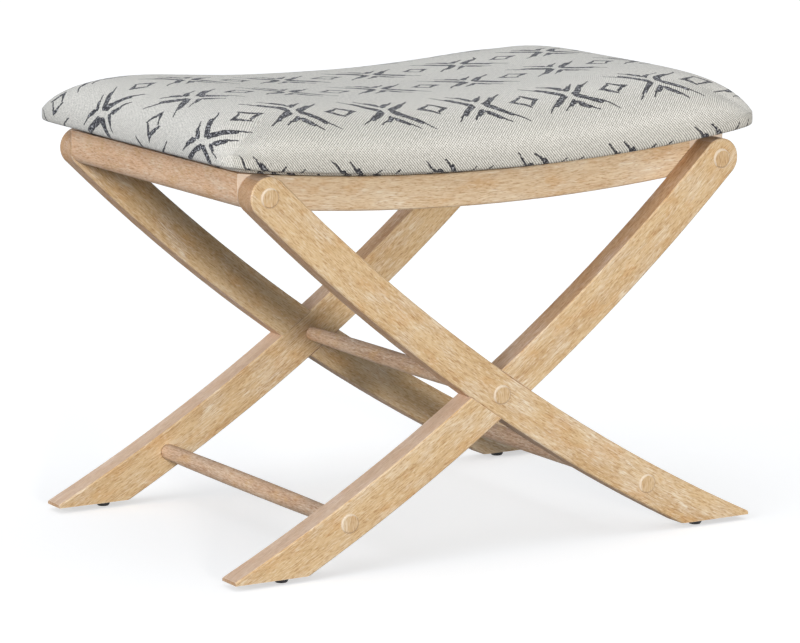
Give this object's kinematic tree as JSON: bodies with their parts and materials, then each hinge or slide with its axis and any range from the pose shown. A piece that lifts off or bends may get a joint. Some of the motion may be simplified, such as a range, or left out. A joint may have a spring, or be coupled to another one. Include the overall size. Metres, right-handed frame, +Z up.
{
  "type": "bed bench",
  "caption": "Upholstered saddle-seat bench on two wooden X frames of curved, half-lapped legs tied by turned stretchers.",
  "frame": {"origin": "on the floor, at the middle of the bench's length and depth", "axes": "+X along the bench to the right, +Y from the front to the back, +Z up"},
  "size_m": [0.684, 0.465, 0.509],
  "materials": {
    "wood": "limed pale hardwood, matte",
    "plain_wood": "sawn, unfinished",
    "plywood": "bent plywood, unfinished",
    "cover_cloth": "herringbone weave with a drawn charcoal pattern",
    "foam": "open-cell seat foam",
    "wadding": "white polyester wadding",
    "dust_cloth": "thin black non-woven cloth",
    "glide": "black nail-on glide",
    "steel": "zinc plated"
  },
  "bodies": {
    "root": {"front_left_leg": "wood", "front_right_leg": "wood", "back_left_leg": "wood", "back_right_leg": "wood", "centre_stretcher": "wood", "left_stretcher": "wood", "right_stretcher": "wood", "stretcher_screws": "steel", "front_rail": "wood", "back_rail": "wood", "left_end_rail": "wood", "right_end_rail": "wood", "corner_blocks": "plain_wood", "corner_block_screws": "steel", "leg_bolts": "steel", "leg_bolt_washers": "steel", "barrel_nuts": "steel", "front_plugs": "wood", "back_plugs": "wood", "glide_pads": "glide", "glide_nails": "steel", "seat_board": "plywood", "seat_screws": "steel", "foam_pad": "foam", "wadding": "wadding", "cushion_cover": "cover_cloth", "dust_cover": "dust_cloth"}
  },
  "joints": []
}
